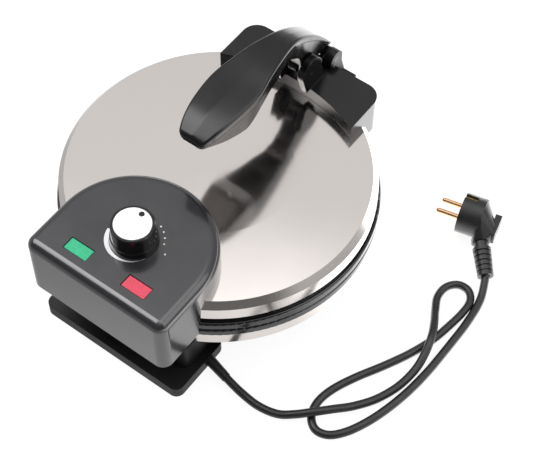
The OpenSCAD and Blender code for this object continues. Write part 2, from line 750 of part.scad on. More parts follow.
module lens(side) translate([side * lens_x, lens_y, 0]) {
    block(-lens_l / 2, lens_l / 2, -lens_w / 2, lens_w / 2, box_top - wall - 1, box_top - lens_sunk);
    block(-lens_l / 2 - lens_lip, lens_l / 2 + lens_lip, -lens_w / 2 - lens_lip, lens_w / 2 + lens_lip,
        box_top - wall - seat - 1.6, box_top - wall - seat);
}

module green_lens() color("#0f8f4c") lens(-1);

module red_lens() color("#b01c3c") lens(1);

module lamp_bodies() color("#d9d7d0") for (side = [-1, 1]) {
    lamp_top = box_top - wall - 1.6 - 2 * seat;
    translate([side * lens_x - 9, lens_y - 5, lamp_top - 3]) cube([18, 10, 3]);
    post(side * lens_x, lens_y, 4, lamp_top - 16, lamp_top - 2);
}

module thermostat() color("#b5b2a8") difference() {
    union() {
        block(-16, 16, -knob_y - 15, -knob_y + 15, lid_edge_z + 3.5, lid_edge_z + 13);
        post(0, -knob_y, 7, lid_edge_z + 12, box_top - wall - seat);
    }
    post(0, -knob_y, spindle_r + run_fit, lid_edge_z + 8, box_top);
}

module control_screws() color("#8f9092") {
    for (p = box_screws) screw(p[0], p[1], lid_edge_z - sheet_t - 2, 14, 1.4);
    for (p = cover_screws) screw(p[0], p[1], box_z - 0.6, 14, 1.4);
    for (a = boss_turns) rotate([0, 0, a + 60]) mirror([0, 0, 1])
        screw(tab_ring_r, 0, -up_plate_top - 7.6, 7, 1.4);
}

// Hinge bracket

bracket_spots = [[-56, wing_front + 2], [56, wing_front + 2], [-26, wing_front + 8], [26, wing_front + 8]];

// Wing outline from above, drawn in by a margin
module wing_outline(margin) {
    difference() {
        soft_rectangle(wing_half - margin, wing_front - 48, wing_back - margin, wing_corner - margin);
        translate([0, wing_front - wing_r]) circle(r = wing_r + margin, $fn = fine);
    }
}

module hinge_bracket() color("#141415") difference() {
    union() {
        difference() {
            union() {
                difference() {
                    translate([0, 0, wing_low]) linear_extrude(wing_top - wing_low) wing_outline(0);
                    translate([0, 0, wing_low - 1]) linear_extrude(wing_top - wall - wing_low + 1) wing_outline(wall);
                }
                for (p = bracket_spots) post(p[0], p[1], box_boss_r, lid_edge_z - 4, wing_top - 1);
                block(-cheek_out, cheek_out, lever_y, hinge_y - 9, lid_edge_z - 2, wing_top - 1);
            }
            block(-notch_half, notch_half, hinge_y - 9.1, wing_back + 1, wing_low - 1, wing_top + 1);
            lid_form(seat);
        }
        for (side = [0, 1]) mirror([side, 0, 0]) {
            side_profile(cheek_in, cheek_out) {
                translate([lever_y, lever_z]) circle(r = cheek_r, $fn = small);
                polygon([
                    [lever_y - 8, wing_top - 1], [lever_y + 18, wing_top - 1],
                    [lever_y + cheek_r - 0.5, lever_z - 3.5], [lever_y + 0.5 - cheek_r, lever_z - 3.5]
                ]);
            }
            side_profile(lug_in, lug_out) {
                translate([hinge_y, hinge_z]) circle(r = lug_r, $fn = small);
                polygon([
                    [hinge_y - 25, lid_edge_z + 6], [hinge_y - 9.2, lid_edge_z + 2],
                    [hinge_y + 2, hinge_z - lug_r + 0.3], [hinge_y, hinge_z + lug_r],
                    [hinge_y - 15, hinge_z + 2], [hinge_y - 25, wing_top - 1]
                ]);
            }
        }
    }
    block(-lug_in, lug_in, hinge_y - 23, wing_back + 1, lid_edge_z - 3, wing_top + 3);
    cross_pin(pin_r + run_fit, 30, hinge_y, hinge_z);
    cross_pin(pin_r + run_fit, 30, lever_y, lever_z);
    for (p = bracket_spots) post(p[0], p[1], 1.5, lid_edge_z - 6, wing_top - 2.5);
}

module bracket_screws() color("#8f9092") {
    for (p = bracket_spots) screw(p[0], p[1], lid_edge_z - sheet_t - 2.2, 11, 1.4);
}

module lever_pin() color("#2b2b2d") cross_pin(pin_r, cheek_out, lever_y, lever_z);

// Press lever, drawn from its pin: Y along the arm, Z up

lever_tops = [
    [-147, 42], [-137, 47.6], [-120, 51], [-104, 52], [-78, 53], [-57, 55], [-45, 54.5], [-34, 53],
    [-22, 51], [-10, 46], [3, 38], [17, 26], [29, 12.5], [36, 3], [40, -3.5]
];
lever_widths = [
    [-147, 12], [-137, 16.5], [-120, 20.5], [-104, 22.5], [-90, 23.5], [-78, 22.5], [-68, 20],
    [-57, 18], [-45, 16], [-34, 13.6], [-22, 11.6], [-10, 10.2], [3, 9.6], [17, 9.2], [40, 8.8]
];
lever_lows = [
    [-147, 35.5], [-137, 33.5], [-124, 29], [-110, 25.3], [-99, 23], [-92, 26], [-80, 32], [-67, 33],
    [-54, 34], [-45, 33.5], [-38, 34], [-30, 35], [-22, 29.5], [-17, 25.5], [-6, 17.5], [-5.5, -6],
    [0, -10], [6, -9.5], [13, -5], [33, -5.5], [40, -8]
];
lever_ridge = [[-147, ridge_h], [-110, ridge_h], [-90, ridge_h / 2], [-60, 0.3], [40, 0.3]];
lever_places = concat([-147, -142, -137], [for (y = [-132:6:-6]) y], [-5.5, -3], [for (y = [0:4:40]) y]);
lever_split = 7;

// Floor of the hollow at one place, and half width of the underside there
function lever_low_in(y) = grip_wall
    + max(lookup(y - grip_wall, lever_lows), lookup(y, lever_lows), lookup(y + grip_wall, lever_lows));
function lever_low_half(y, cut) =
    min(lookup(y, lever_widths) - 1.4, y > -24 ? arm_half - 0.2 : lever_widths[4][1]) - cut;

// Corners of the lever's section at one place: a cut keeps it that far inside the outline
function lever_section(y, cut, low, top, ridge) =
    let (w1 = lookup(y, lever_widths) - cut, w0 = lever_low_half(y, cut),
        z1 = lookup(y, lever_tops) - cut, z0 = cut > 0 ? lever_low_in(y) : lookup(y, lever_lows),
        seam = z1 - min(lever_split, 0.55 * (z1 - z0)), a = low ? z0 : seam, b = top ? z1 : seam,
        f = (a - z0) / (z1 - z0), g = (b - z0) / (z1 - z0),
        wa = w0 + f * (w1 - w0), wb = w0 + g * (w1 - w0), r = ridge ? lookup(y, lever_ridge) : 0)
    [
        [-wa, y, a], [wa, y, a], [wb, y, b], [wb * 0.5, y, b + r * 0.6], [0, y, b + r],
        [-wb * 0.5, y, b + r * 0.6], [-wb, y, b]
    ];

// A closed skin over a row of sections
module loft(sections) {
    m = len(sections[0]);
    n = len(sections);
    polyhedron(points = [for (ring = sections, p = ring) p], faces = concat(
        [for (i = [0:n - 2], k = [0:m - 1]) [i * m + k, (i + 1) * m + (k + 1) % m, (i + 1) * m + k]],
        [for (i = [0:n - 2], k = [0:m - 1]) [i * m + k, i * m + (k + 1) % m, (i + 1) * m + (k + 1) % m]],
        [for (k = [1:m - 2]) [0, k + 1, k]],
        [for (k = [1:m - 2]) [(n - 1) * m, (n - 1) * m + k, (n - 1) * m + k + 1]]
    ));
}

module lever_place() {
    translate([0, lever_y, lever_z]) children();
}

module lever_hollow() {
    places = [for (y = lever_places) if (y > -145 && y < 38) y];
    loft([for (y = places) lever_section(y, grip_wall, true, true, false)]);
}

lever_screw_places = [-98, -54];

module lever_posts(z0, z1) {
    for (y = lever_screw_places) translate([0, y, z0]) cylinder(r = 4.6, h = z1 - z0, $fn = small);
}

hub_r = 7.5;
core_low = 37;
core_high = 46.5;

module lever_top_shell() color("#1c1c1e") lever_place() difference() {
    union() {
        difference() {
            loft([for (y = lever_places) lever_section(y, 0, false, true, true)]);
            lever_hollow();
        }
        intersection() {
            lever_posts(core_high + seat, 54);
            loft([for (y = lever_places) lever_section(y, 0, true, true, false)]);
        }
    }
    for (y = lever_screw_places) translate([0, y, core_low]) cylinder(r = 1.5, h = 12.5, $fn = small);
}

module lever_bottom_shell() color("#161617") lever_place() difference() {
    union() {
        difference() {
            translate([0, 0, -seat]) loft([for (y = lever_places) lever_section(y, 0, true, false, false)]);
            lever_hollow();
        }
        intersection() {
            lever_posts(24, core_low - seat);
            loft([for (y = lever_places) lever_section(y, 0, true, true, false)]);
        }
    }
    for (y = lever_screw_places) translate([0, y, 20]) {
        cylinder(r = 1.6, h = 20, $fn = small);
        cylinder(r = 3.2, h = lookup(y, lever_lows) - 20 + 1.6, $fn = small);
    }
    cross_pin(pin_r + 0.8, 20, 0, 0);
    cross_pin(hub_r + 0.5, core_t / 2 + slide, 0, 0);
    block(-core_t / 2 - 1, core_t / 2 + 1, 5, 27, -12, 0);
}

module lever_core() color("#9a9b9d") lever_place() difference() {
    union() {
        side_profile(0.3 - core_t / 2, core_t / 2 - 0.3)
            polygon([
                [-128, core_high], [-48, core_high], [-40, core_high + 1], [-24, 45], [-12, 41], [0, 33], [8, 22], [9.5, 10],
                [12, 3.5], [22, -7], [24, -12], [24, -28], [38, -28], [38, -33], [16, -33], [16, -15],
                [6, -6], [0, -5], [-4, 2], [-1.5, 14], [-1.5, 24], [-6, 26.5], [-16, 32], [-24, 41.5],
                [-44, 41.5], [-50, core_low], [-128, core_low]
            ]);
        cross_pin(hub_r, core_t / 2, 0, 0);
    }
    cross_pin(pin_r + run_fit, 10, 0, 0);
    for (y = lever_screw_places) translate([0, y, core_low - 1]) cylinder(r = 1.6, h = 12, $fn = small);
}

module lever_screws() color("#8f9092") lever_place() {
    for (y = lever_screw_places)
        screw(0, y, lookup(y, lever_lows) + 0.2, 48.5 - lookup(y, lever_lows), 1.4);
}

// Knob

module knob_body() color("#141416") difference() {
    union() {
        translate([0, -knob_y, knob_z]) cylinder(r = knob_low_r, h = 1.6, $fn = fine);
        translate([0, -knob_y, knob_z + 1.6])
            cylinder(r1 = knob_low_r, r2 = knob_low_r - 0.5, h = skirt_h - 1.6, $fn = fine);
        translate([0, -knob_y, knob_z + skirt_h])
            cylinder(r1 = knob_top_r + 0.8, r2 = knob_top_r, h = knob_h - skirt_h - 0.8, $fn = fine);
        translate([0, -knob_y, knob_top - 0.8])
            cylinder(r1 = knob_top_r, r2 = knob_top_r - 0.7, h = 0.8, $fn = fine);
    }
    difference() {
        translate([0, -knob_y, knob_z - 1])
            cylinder(r1 = knob_low_r - 2.6, r2 = knob_top_r - 2.6, h = knob_h - 3, $fn = fine);
        post(0, -knob_y, spindle_r + 3, knob_z + 2, knob_top);
    }
    post(0, -knob_y, spindle_r + run_fit, knob_z - 1, knob_z + 15);
    post(0, -knob_y, cap_r + seat, knob_top - cap_t, knob_top + 1);
}

module knob_cap() color("#d9d7d4") difference() {
    union() {
        translate([0, -knob_y, knob_top - cap_t + seat])
            cylinder(r = cap_r, h = cap_t - 0.3, $fn = fine);
        translate([0, -knob_y, knob_top - 0.2]) cylinder(r1 = cap_r, r2 = cap_r - 0.4, h = 0.4, $fn = fine);
    }
    post(0, pointer_out - knob_y, pointer_r + seat, knob_top - 0.8, knob_top + 1);
}

module knob_pointer() color("#1a1a1a")
    post(0, pointer_out - knob_y, pointer_r, knob_top - 0.7, knob_top);

module knob_spindle() color("#b9b4a6") post(0, -knob_y, spindle_r, lid_edge_z + 8.1, knob_z + 14.9);

mark_t = 0.3;
dots = [[24.5, 68], [24.5, 54], [24.5, 40], [24.5, 26], [29, 7]];

module dial_marks() color("#c9c9cb") translate([0, -knob_y, box_top + 0.02]) {
    linear_extrude(mark_t) difference() {
        rotate(200) translate([2.3, 0]) circle(r = mark_r - 2.3, $fn = fine);
        circle(r = knob_low_r + 0.4, $fn = fine);
        rotate(10) translate([-40, 0]) square([80, 40]);
    }
    for (p = dots) rotate([0, 0, p[1]]) post(p[0], 0, 0.8, 0, mark_t);
}

front_sole();
rear_stand();
rubber_feet();
bottom_housing();
base_pan();
base_ring();
lower_plate();
lower_element();
lower_reflector();
lower_insulation();
terminal_block();
base_screws();
hinge_pin();
cord_gland();
cord_clamp();
power_cord();
plug_body();
plug_pins();
plug_earth_clips();
lid_ring();
lid_shell();
upper_plate();
upper_element();
upper_reflector();
upper_insulation();
control_housing();
control_cover();
green_lens();
red_lens();
lamp_bodies();
thermostat();
control_screws();
hinge_bracket();
bracket_screws();
lever_pin();
lever_top_shell();
lever_bottom_shell();
lever_core();
lever_screws();
knob_body();
knob_cap();
knob_pointer();
knob_spindle();
dial_marks();
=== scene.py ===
"""Looks of an electric roti maker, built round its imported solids. Metres, +Z up, the controls face -Y."""

import logging
import math
from dataclasses import dataclass, field
from enum import Enum

import bpy
import numpy as np
from mathutils import Matrix, Vector

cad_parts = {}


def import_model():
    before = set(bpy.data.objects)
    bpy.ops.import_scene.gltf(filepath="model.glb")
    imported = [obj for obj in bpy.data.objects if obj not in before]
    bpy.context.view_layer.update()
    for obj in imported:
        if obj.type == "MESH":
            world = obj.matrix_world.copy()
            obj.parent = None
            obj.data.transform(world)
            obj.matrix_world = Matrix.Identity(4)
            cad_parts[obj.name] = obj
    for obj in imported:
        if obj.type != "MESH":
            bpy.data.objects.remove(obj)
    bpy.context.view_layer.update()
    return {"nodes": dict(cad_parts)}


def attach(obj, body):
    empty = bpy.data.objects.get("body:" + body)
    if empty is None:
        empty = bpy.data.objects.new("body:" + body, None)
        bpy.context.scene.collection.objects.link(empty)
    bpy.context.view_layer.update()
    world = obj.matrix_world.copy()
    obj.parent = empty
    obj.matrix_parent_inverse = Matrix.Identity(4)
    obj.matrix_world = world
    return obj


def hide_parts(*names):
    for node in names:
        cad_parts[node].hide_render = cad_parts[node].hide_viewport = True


LOG = logging.getLogger("roti_maker")
MM = 0.001

# How a table is smoothed: places read round each wanted one, how far off they lie, and how far the table is
# carried on past its ends, both in spreads
BELL_PLACES = 41
BELL_REACH = 2.5
BELL_ENDS = 3

# Most values of Blender's noise lie between these two
NOISE_RANGE = (0.3, 0.7)

WHITE = (1, 1, 1, 1)

Socket = bpy.types.NodeSocket
Tree = bpy.types.NodeTree


class Pattern(Enum):
    """Kinds of fine relief: Blender's node, and its output that holds the height."""

    NOISE = ("ShaderNodeTexNoise", "Fac")
    CELLS = ("ShaderNodeTexVoronoi", "Distance")


class Ease(Enum):
    """How a value goes from one end of a ramp to the other."""

    STRAIGHT = "LINEAR"
    SMOOTH = "SMOOTHSTEP"


@dataclass(frozen=True)
class Ramp:
    """Two ends of a range, and what they become. Beyond them the value is held."""

    source: tuple[float, float]
    target: tuple[float, float]
    ease: Ease = Ease.STRAIGHT


# Small helpers


def linear(hex_colour: str) -> tuple[float, float, float, float]:
    """Turns an sRGB hex colour to linear light.

    Each channel c becomes c / 12.92 below 0.04045, and ((c + 0.055) / 1.055) to the power 2.4 above it.

    Args:
        hex_colour: six hex digits, with or without a leading hash.

    Returns:
        Red, green and blue, and an alpha of 1.
    """
    digits = hex_colour.lstrip("#")
    channels = np.array([int(digits[i : i + 2], 16) / 255 for i in (0, 2, 4)])
    out = np.where(channels <= 0.04045, channels / 12.92, ((channels + 0.055) / 1.055) ** 2.4)
    return (float(out[0]), float(out[1]), float(out[2]), 1.0)


def add_node(tree: Tree, kind: str, settings: dict | None = None, links: dict | None = None) -> bpy.types.Node:
    """Adds one node with its settings and links.

    Args:
        tree: node tree that gets the node.
        kind: Blender's name of the node type.
        settings: node attributes, or input names or numbers, with their values.
        links: input names or numbers, with the output socket that feeds each.

    Returns:
        The new node.
    """
    made = tree.nodes.new(kind)
    for name, value in (settings or {}).items():
        if isinstance(name, str) and hasattr(made, name):
            setattr(made, name, value)
        else:
            made.inputs[name].default_value = value
    for name, socket in (links or {}).items():
        tree.links.new(socket, made.inputs[name])
    return made


def work_out(tree: Tree, operation: str, *values: Socket | float) -> Socket:
    """Adds one step of arithmetic.

    Args:
        tree: node tree that gets the node.
        operation: Blender's name of the step.
        values: sockets or numbers, in the order that the step takes them.

    Returns:
        The socket with the result.
    """
    numbers = {i: v for i, v in enumerate(values) if isinstance(v, (int, float))}
    sockets = {i: v for i, v in enumerate(values) if i not in numbers}
    return add_node(tree, "ShaderNodeMath", {"operation": operation, **numbers}, sockets).outputs["Value"]


def carry(tree: Tree, value: Socket, ramp: Ramp) -> Socket:
    """Carries a value along a ramp.

    Args:
        tree: node tree that gets the node.
        value: the value to carry.
        ramp: the ramp.

    Returns:
        The socket with the result.
    """
    ends = dict(zip(("From Min", "From Max", "To Min", "To Max"), ramp.source + ramp.target))
    settings = {"interpolation_type": ramp.ease.value, **ends}
    return add_node(tree, "ShaderNodeMapRange", settings, {"Value": value}).outputs["Result"]


def smooth_table(rows: list[tuple[float, float]], places: np.ndarray, spread: float) -> np.ndarray:
    """Reads a table of sizes as one smooth curve.

    The table, carried straight on past both ends, is read by straight lines at BELL_PLACES places round each
    wanted one, and averaged with bell-shaped weights exp(-(s / spread)^2 / 2).

    Args:
        rows: pairs of place and size, with places rising.
        places: where the curve is wanted.
        spread: half width of the averaging, in the table's unit.

    Returns:
        One size for each place.
    """
    table = np.array(rows, float)
    first = table[0] - (table[1] - table[0]) * BELL_ENDS * spread / (table[1, 0] - table[0, 0])
    last = table[-1] + (table[-1] - table[-2]) * BELL_ENDS * spread / (table[-1, 0] - table[-2, 0])
    table = np.vstack([first, table, last])
    offsets = np.linspace(-BELL_REACH, BELL_REACH, BELL_PLACES) * spread
    weights = np.exp(-((offsets / spread) ** 2) / 2)
    read = np.interp(places[:, None] + offsets[None, :], table[:, 0], table[:, 1])
    return (read * weights).sum(1) / weights.sum()


def through_points(points: np.ndarray, steps: int) -> np.ndarray:
    """Smooth curve through a route's points.

    Between points b and c, with neighbours a and d, it is the cubic
    b + t (c - a) / 2 + t^2 (a - 5/2 b + 2 c - d / 2) + t^3 (3/2 b - a / 2 - 3/2 c + d / 2).

    Args:
        points: route points, one per row.
        steps: places worked out between two neighbouring points.

    Returns:
        The curve's points, ends included.
    """
    spots = np.linspace(0, len(points) - 1, (len(points) - 1) * steps + 1)
    at = np.minimum(spots.astype(int), len(points) - 2)
    t = (spots - at)[:, None]
    last = len(points) - 1
    a, b, c, d = (points[np.clip(at + k, 0, last)] for k in (-1, 0, 1, 2))
    return b + t * (c - a) / 2 + t**2 * (a - 2.5 * b + 2 * c - d / 2) + t**3 * (1.5 * b - a / 2 - 1.5 * c + d / 2)


def tube_faces(rings: int, columns: int) -> list[list[int]]:
    """Faces of a closed tube: four-sided ones round it, and one over each end.

    Args:
        rings: rings of points.
        columns: points in each ring.

    Returns:
        Vertex numbers of each face, facing into the tube where rings run against the clock seen from the far end.
    """
    i = np.arange(rings - 1)[:, None]
    k = np.arange(columns)[None, :]
    n = (k + 1) % columns
    corners = [(i + 1) * columns + k, (i + 1) * columns + n, i * columns + n, i * columns + k]
    sides = np.stack([np.broadcast_to(c, (len(i), columns)) for c in corners], -1).reshape(-1, 4).tolist()
    last = (rings - 1) * columns
    return [*sides, list(range(columns)), [last + k for k in reversed(range(columns))]]


def mesh_object(
    name: str, points: np.ndarray, faces: list[list[int]], sharp_deg: float = 40.0
) -> bpy.types.Object:
    """Makes an object from points and faces, smooth shaded except at sharp edges.

    Args:
        name: name of the object and its mesh.
        points: vertex positions in metres, one per row.
        faces: vertex numbers of each face.
        sharp_deg: angle between faces from which an edge stays sharp.

    Returns:
        The linked object, at the origin.
    """
    mesh = bpy.data.meshes.new(name)
    mesh.from_pydata(points.tolist(), [], faces)
    mesh.polygons.foreach_set("use_smooth", np.ones(len(mesh.polygons), bool))
    mesh.set_sharp_from_angle(angle=math.radians(sharp_deg))
    mesh.update()
    made = bpy.data.objects.new(name, mesh)
    bpy.context.scene.collection.objects.link(made)
    return made


def dress(thing: bpy.types.Object, material: bpy.types.Material) -> None:
    """Gives every slot of an object one material.

    Args:
        thing: the object.
        material: its finish.
    """
    if not thing.material_slots:
        thing.data.materials.append(material)
    for slot in thing.material_slots:
        slot.material = material


def dress_nodes(nodes: dict[str, bpy.types.Object], look: dict[str, bpy.types.Material]) -> None:
    """Gives carried-over solids their finishes.

    Args:
        nodes: the solids by name.
        look: finish of each solid that is to be dressed.
    """
    for name, material in look.items():
        dress(nodes[name], material)
        LOG.info("dressed %s", name)


# Finishes


@dataclass(frozen=True)
class Finish:
    """What every finish shares: a name, a colour and how rough its surface is."""

    name: str
    colour: str
    roughness: float

    def start(self, **inputs: float) -> tuple[bpy.types.Material, Tree, bpy.types.Node]:
        """Makes the material with a plain Principled surface.

        Args:
            inputs: the surface's other inputs, with an underscore for each space in a name.

        Returns:
            The material, its node tree and its Principled node.
        """
        material = bpy.data.materials.new(self.name)
        material.use_nodes = True
        tree = material.node_tree
        tree.nodes.clear()
        settings = {"Base Color": linear(self.colour), "Roughness": self.roughness}
        settings.update({name.replace("_", " "): value for name, value in inputs.items()})
        surface = add_node(tree, "ShaderNodeBsdfPrincipled", settings)
        add_node(tree, "ShaderNodeOutputMaterial", links={"Surface": surface.outputs["BSDF"]})
        return material, tree, surface

    def place(self, tree: Tree, stretch: tuple[float, float, float] = (1, 1, 1)) -> Socket:
        """Pattern coordinates: the object's own, stretched along each axis.

        Args:
            tree: node tree of the material.
            stretch: scale along X, Y and Z.

        Returns:
            The socket with the coordinates.
        """
        read = add_node(tree, "ShaderNodeTexCoord")
        mapped = add_node(tree, "ShaderNodeMapping", {"Scale": stretch}, {"Vector": read.outputs["Object"]})
        return mapped.outputs["Vector"]

    def cloud(
        self, tree: Tree, surface: bpy.types.Node, where: Socket, size_mm: float, low: float, high: float
    ) -> None:
        """Makes the roughness drift softly between two limits.

        Args:
            tree: node tree of the material.
            surface: its Principled node.
            where: pattern coordinates in metres.
            size_mm: width of one cloud.
            low: roughness in the dark of the noise.
            high: roughness in its light.
        """
        noise = add_node(tree, "ShaderNodeTexNoise", {"Scale": 1 / (size_mm * MM), "Detail": 3.0}, {"Vector": where})
        rough = carry(tree, noise.outputs["Fac"], Ramp(NOISE_RANGE, (low, high)))
        tree.links.new(rough, surface.inputs["Roughness"])

    def raise_pattern(
        self,
        tree: Tree,
        surface: bpy.types.Node,
        where: Socket,
        pattern: Pattern,
        size_mm: float,
        depth_mm: float,
        strength: float,
        detail: float = 0.0,
    ) -> tuple[bpy.types.Node, bpy.types.Node]:
        """Raises a fine pattern on the surface.

        Args:
            tree: node tree of the material.
            surface: its Principled node.
            where: pattern coordinates in metres.
            pattern: kind of the relief.
            size_mm: width of one grain of it.
            depth_mm: height from its lows to its highs.
            strength: how much of that height shows, from 0 to 1.
            detail: layers of finer noise.

        Returns:
            The pattern's node and the Bump node.
        """
        kind, height = pattern.value
        made = add_node(tree, kind, {"Scale": 1 / (size_mm * MM), "Detail": detail}, {"Vector": where})
        settings = {"Strength": strength, "Distance": depth_mm * MM}
        bump = add_node(tree, "ShaderNodeBump", settings, {"Height": made.outputs[height]})
        tree.links.new(bump.outputs["Normal"], surface.inputs["Normal"])
        return made, bump


@dataclass(frozen=True)
class MouldedPlastic(Finish):
    """ABS as it leaves a mould: an even colour, a fine grain, and edges that the tool has rounded a little.

    The eye gets soft-edged reflections that break up slightly, and a thin bright line along each edge.
    """

    grain_mm: float = 0.7
    grain_depth_mm: float = 0.012
    edge_mm: float = 0.5
    uneven: float = 0.05
    lacquer: float = 0.0
    shine: float = 0.5
    index: float = 1.53

    def make(self) -> bpy.types.Material:
        """Builds the material.

        Returns:
            The material.
        """
        material, tree, surface = self.start(
            IOR=self.index,
            Specular_IOR_Level=self.shine,
            Coat_Weight=self.lacquer,
            Coat_Roughness=self.roughness * 0.6,
        )
        where = self.place(tree)
        self.cloud(tree, surface, where, 26, self.roughness - self.uneven, self.roughness + self.uneven)
        _, bump = self.raise_pattern(
            tree, surface, where, Pattern.NOISE, self.grain_mm, self.grain_depth_mm, strength=0.5, detail=2.0
        )
        if self.edge_mm > 0:
            edge = add_node(tree, "ShaderNodeBevel", {"samples": 4, "Radius": self.edge_mm * MM})
            tree.links.new(edge.outputs["Normal"], bump.inputs["Normal"])
        return material


@dataclass(frozen=True)
class BrushedSheet(Finish):
    """Sheet with a satin belt finish, turned under the belt: fine lines round the Z axis.

    The eye gets a soft shine that is stretched across the lines, towards and away from the middle.
    """

    line_mm: float = 0.35
    contrast: float = 0.05
    stretch: float = 0.6

    def make(self) -> bpy.types.Material:
        """Builds the material.

        The lines' noise is read at the distance from the Z axis less the height, so that it changes both along a
        flat top and down an upright band.

        Returns:
            The material.
        """
        material, tree, surface = self.start(Metallic=1.0, Anisotropic=self.stretch)
        read = add_node(tree, "ShaderNodeTexCoord")
        parts = add_node(tree, "ShaderNodeSeparateXYZ", links={"Vector": read.outputs["Object"]})
        flat = add_node(tree, "ShaderNodeCombineXYZ", links={"X": parts.outputs["X"], "Y": parts.outputs["Y"]})
        reach = add_node(tree, "ShaderNodeVectorMath", {"operation": "LENGTH"}, {0: flat.outputs["Vector"]})
        down = work_out(tree, "SUBTRACT", reach.outputs["Value"], parts.outputs["Z"])
        line_place = add_node(tree, "ShaderNodeCombineXYZ", links={"X": down}).outputs["Vector"]
        outward = add_node(
            tree,
            "ShaderNodeVectorTransform",
            {"vector_type": "VECTOR", "convert_from": "OBJECT", "convert_to": "WORLD"},
            {"Vector": flat.outputs["Vector"]},
        )
        tree.links.new(outward.outputs["Vector"], surface.inputs["Tangent"])
        lines, _ = self.raise_pattern(
            tree, surface, line_place, Pattern.NOISE, self.line_mm, depth_mm=0.01, strength=0.25, detail=3.0
        )
        self.cloud(tree, surface, self.place(tree), 60, self.roughness - 0.03, self.roughness + 0.04)
        tint = add_node(
            tree,
            "ShaderNodeMix",
            {"data_type": "RGBA", "blend_type": "MULTIPLY", 0: self.contrast, 6: linear(self.colour)},
            {7: lines.outputs["Fac"]},
        )
        tree.links.new(tint.outputs[2], surface.inputs["Base Color"])
        return material


@dataclass(frozen=True)
class TurnedMetal(Finish):
    """Turned, plated or blackened metal.

    The eye gets a hard and fairly bright surface with slight cloudy dulling from handling.
    """

    dulling: float = 1.0

    def make(self) -> bpy.types.Material:
        """Builds the material.

        Returns:
            The material.
        """
        material, tree, surface = self.start(Metallic=1.0)
        smooth, dull = self.roughness - 0.06 * self.dulling, self.roughness + 0.1 * self.dulling
        self.cloud(tree, surface, self.place(tree), 3, smooth, dull)
        return material


@dataclass(frozen=True)
class SprayedCoating(Finish):
    """Non-stick coating sprayed on cast aluminium.

    The eye gets a dark, slightly sparkling satin over a pebbled surface.
    """

    index: float = 1.4
    pebble_mm: float = 1.2
    pebble_depth_mm: float = 0.05

    def make(self) -> bpy.types.Material:
        """Builds the material.

        Returns:
            The material.
        """
        material, tree, surface = self.start(IOR=self.index)
        where = self.place(tree)
        self.raise_pattern(tree, surface, where, Pattern.CELLS, self.pebble_mm, self.pebble_depth_mm, strength=0.4)
        self.cloud(tree, surface, where, 18, self.roughness - 0.05, self.roughness + 0.08)
        return material


@dataclass(frozen=True)
class PressedFelt(Finish):
    """Mineral wool pressed to a board.

    The eye gets a dull surface of tangled short fibres that lie flat.
    """

    fibre_mm: float = 0.9
    fibre_depth_mm: float = 0.4

    def make(self) -> bpy.types.Material:
        """Builds the material.

        Returns:
            The material.
        """
        material, tree, surface = self.start()
        where = self.place(tree, (1, 1, 3))
        self.raise_pattern(
            tree, surface, where, Pattern.NOISE, self.fibre_mm, self.fibre_depth_mm, strength=0.9, detail=6.0
        )
        return material


@dataclass(frozen=True)
class LampLens(Finish):
    """Clear tinted acrylic, moulded smooth over a frosted back.

    The eye gets a deep colour with a faint cell pattern under a bright wet surface.
    """

    index: float = 1.49
    cell_mm: float = 1.6
    depth: float = 0.7

    def make(self) -> bpy.types.Material:
        """Builds the material.

        Returns:
            The material.
        """
        material, tree, surface = self.start(IOR=self.index, Coat_Weight=0.6, Coat_Roughness=0.03)
        where = self.place(tree)
        cells = add_node(tree, "ShaderNodeTexVoronoi", {"Scale": 1 / (self.cell_mm * MM)}, {"Vector": where})
        deep = tuple(self.depth * v for v in linear(self.colour)[:3]) + (1.0,)
        tint = add_node(
            tree,
            "ShaderNodeMix",
            {"data_type": "RGBA", 6: linear(self.colour), 7: deep},
            {0: cells.outputs["Distance"]},
        )
        tree.links.new(tint.outputs[2], surface.inputs["Base Color"])
        return material


@dataclass(frozen=True)
class SoftRubber(Finish):
    """Flexible PVC or rubber, extruded or moulded.

    The eye gets a dull black that catches a broad faint shine.
    """

    index: float = 1.5
    speck_mm: float = 0.5
    speck_depth_mm: float = 0.03

    def make(self) -> bpy.types.Material:
        """Builds the material.

        Returns:
            The material.
        """
        material, tree, surface = self.start(IOR=self.index)
        where = self.place(tree)
        self.cloud(tree, surface, where, 12, self.roughness - 0.07, self.roughness + 0.07)
        self.raise_pattern(
            tree, surface, where, Pattern.NOISE, self.speck_mm, self.speck_depth_mm, strength=0.4, detail=3.0
        )
        return material


